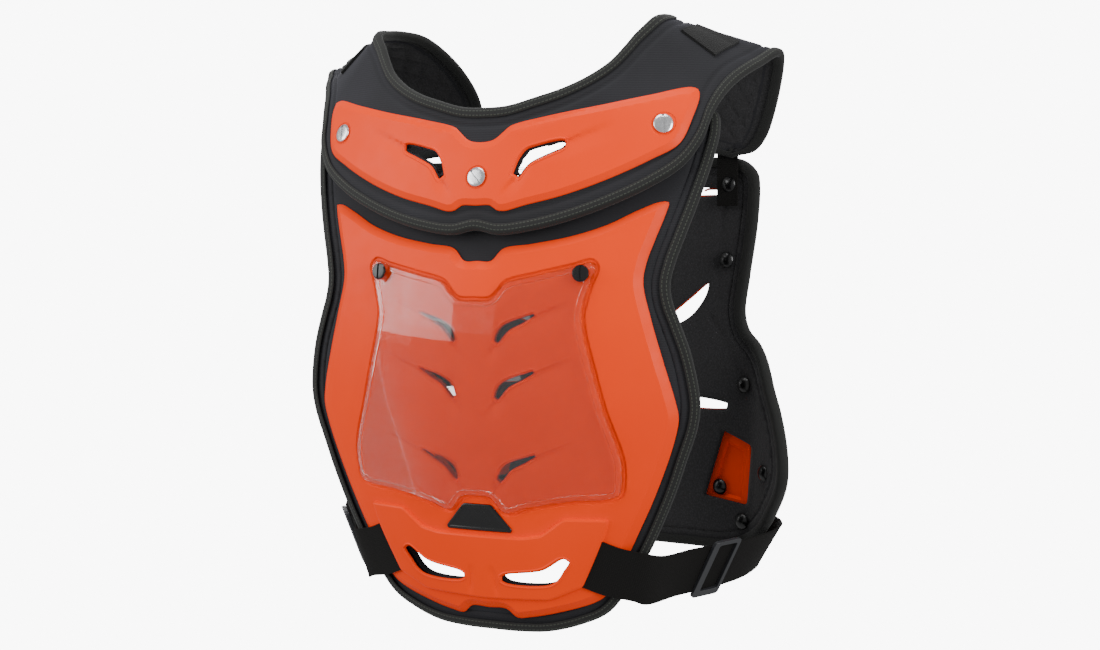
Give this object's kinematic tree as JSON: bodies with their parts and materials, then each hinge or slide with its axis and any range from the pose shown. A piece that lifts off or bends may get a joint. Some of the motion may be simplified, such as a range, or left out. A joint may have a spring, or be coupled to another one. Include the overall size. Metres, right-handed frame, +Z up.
{
  "type": "roost deflector",
  "caption": "Padded chest and back protector with moulded vented shields, a clear chest window, bound foam pads, shoulder flaps and waist straps with sliders.",
  "frame": {"origin": "shoulder seat: midway between the two shoulder straps, level with where they rest on the shoulders", "axes": "+Z up along the wearer's body, +X towards the wearer's left, the chest faces -Y"},
  "size_m": [0.4832, 0.2572, 0.5612],
  "materials": {
    "foam": "fine-ribbed neoprene over foam",
    "tape": "stitched binding tape",
    "shield": "satin moulded polymer",
    "clear_sheet": "clear moulded sheet",
    "black_plastic": "moulded",
    "steel": "polished",
    "webbing": "woven webbing"
  },
  "bodies": {
    "root": {"yoke_pad": "foam", "yoke_binding": "tape", "yoke_plate": "shield", "chest_pad": "foam", "chest_binding": "tape", "chest_plate": "shield", "window": "clear_sheet", "badge": "black_plastic", "back_pad": "foam", "back_binding": "tape", "back_plate": "shield", "yoke_screw_left": "steel", "yoke_screw_right": "steel", "yoke_screw_middle": "steel", "window_screw_left": "black_plastic", "window_screw_right": "black_plastic", "waist_strap_left": "webbing", "waist_strap_right": "webbing", "slider_left": "black_plastic", "slider_right": "black_plastic", "shoulder_patch_left": "webbing", "shoulder_patch_right": "webbing", "back_tab_left": "webbing", "back_tab_right": "webbing", "rivet_tab_left": "black_plastic", "rivet_tab_right": "black_plastic", "rivet_shoulder_left": "black_plastic", "rivet_shoulder_right": "black_plastic", "rivet_side_left": "black_plastic", "rivet_side_right": "black_plastic", "rivet_opening_left": "black_plastic", "rivet_opening_right": "black_plastic", "rivet_wing_left": "black_plastic", "rivet_wing_right": "black_plastic", "rivet_waist_left": "black_plastic", "rivet_waist_right": "black_plastic"}
  },
  "joints": []
}
